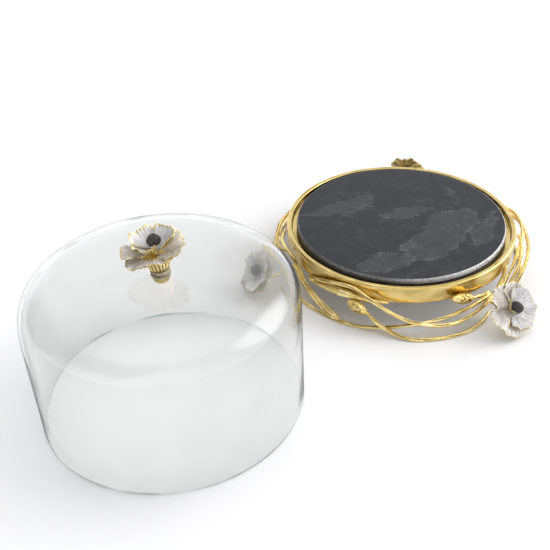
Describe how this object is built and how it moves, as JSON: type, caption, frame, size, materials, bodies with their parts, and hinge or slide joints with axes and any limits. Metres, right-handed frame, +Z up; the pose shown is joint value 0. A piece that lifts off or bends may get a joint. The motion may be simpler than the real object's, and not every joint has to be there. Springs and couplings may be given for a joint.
{
  "type": "cheese dome",
  "caption": "Cheese dome: gilt vine-and-flower stand with a tray, loose dark stone disc, and a clear glass bell with a flower knob standing beside it.",
  "frame": {"origin": "on the table, at the centre of the whole object's footprint box", "axes": "+Z up from the table, +Y from the glass bell's side (front) towards the stand's far side (back), +X to the right as seen from the front"},
  "size_m": [0.5084, 0.5829, 0.1901],
  "materials": {
    "gilt": "gold plated cast metal, polished with a beaten, bark-like texture",
    "stone": "dark grey veined stone, honed, polished pale bevel",
    "glass": "clear blown glass with a faint green tint",
    "enamel": "satin white enamel with fine grey-pink veins and gilt edges",
    "bead": "near-black stippled bead, satin",
    "gasket": "soft grey gasket"
  },
  "bodies": {
    "stand": {"tray": "gilt", "vine_foot_loop_front": "gilt", "vine_foot_loop_right": "gilt", "vine_foot_loop_back": "gilt", "vine_low_loop_front": "gilt", "vine_low_loop_right": "gilt", "vine_low_loop_back": "gilt", "vine_crossing_front": "gilt", "vine_crossing_back": "gilt", "vine_left_twig": "gilt", "vine_left_twig_two": "gilt", "vine_left_hook": "gilt", "vine_on_apron": "gilt", "vine_bud_twig": "gilt", "vine_right_inner": "gilt", "vine_right_outer": "gilt", "vine_right_riser": "gilt", "bud_front": "gilt", "bud_right": "gilt", "bud_back": "gilt", "bud_on_twig": "gilt", "flower_right_back": "gilt", "flower_back_back": "gilt", "flower_left_back": "gilt", "flower_right_stem": "gilt", "flower_back_stem": "gilt", "flower_left_stem": "gilt", "flower_right_outer_petals": "enamel", "flower_right_inner_petals": "enamel", "flower_back_outer_petals": "enamel", "flower_back_inner_petals": "enamel", "flower_left_outer_petals": "enamel", "flower_left_inner_petals": "enamel", "flower_right_bead": "bead", "flower_back_bead": "bead", "flower_left_bead": "bead"},
    "stone": {"stone_disc": "stone"},
    "carrier": {"knob_bead": "bead"},
    "bell": {"glass_bell": "glass", "knob_gasket": "gasket", "knob_collar": "gilt", "knob_outer_petals": "enamel", "knob_inner_petals": "enamel", "knob_stud": "gilt", "knob_inner_washer": "gasket", "knob_cap_nut": "gilt"}
  },
  "joints": [
    {"name": "stone_lift", "type": "slide", "parent": "stand", "child": "stone", "axis": [0, 0, 1], "range_m": [0, 0.06]},
    {"name": "bell_carry", "type": "hinge", "parent": "stand", "child": "carrier", "pos_m": [-0.01294, -0.03712, 0.2286], "axis": [-0.7452, 0.6669, 0], "range_deg": [0, 195.07]},
    {"name": "bell_upright", "type": "hinge", "parent": "carrier", "child": "bell", "pos_m": [-0.1246, -0.1619, 0.1835], "axis": [-0.7452, 0.6669, 0], "range_deg": [-195.07, 0]}
  ],
  "couplings": [
    {"joint": "bell_upright", "follows": "bell_carry", "ratio": -1}
  ]
}
